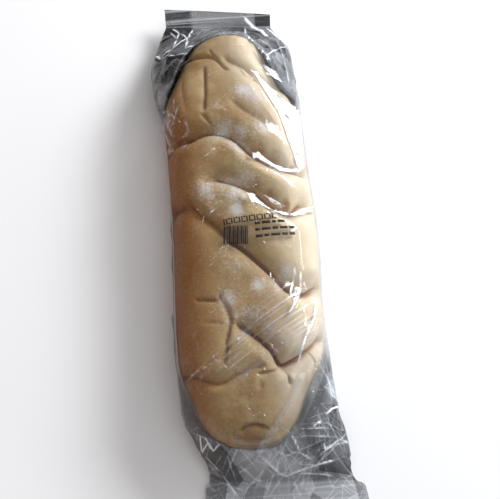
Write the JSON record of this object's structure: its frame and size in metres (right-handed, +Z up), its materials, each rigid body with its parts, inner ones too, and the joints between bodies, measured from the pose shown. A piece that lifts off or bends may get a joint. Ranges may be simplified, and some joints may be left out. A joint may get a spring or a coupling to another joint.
{
  "type": "bagged french bread loaf",
  "caption": "Soft hand-rolled French bread loaf with diagonal slashes, sealed in a clear film pack with a flat welded seal at each end.",
  "frame": {"origin": "middle of the pack's footprint, on the surface it rests on", "axes": "+Y along the loaf towards its round head, +Z up through the slashed top, +X to the right with the head away from the viewer"},
  "size_m": [0.1094, 0.3348, 0.0525],
  "materials": {
    "crust": "pale soft crust, dusted with flour",
    "film": "clear glossy packing film",
    "print": "black ink on the film"
  },
  "bodies": {
    "root": {"bread_pack": "crust"}
  },
  "joints": []
}
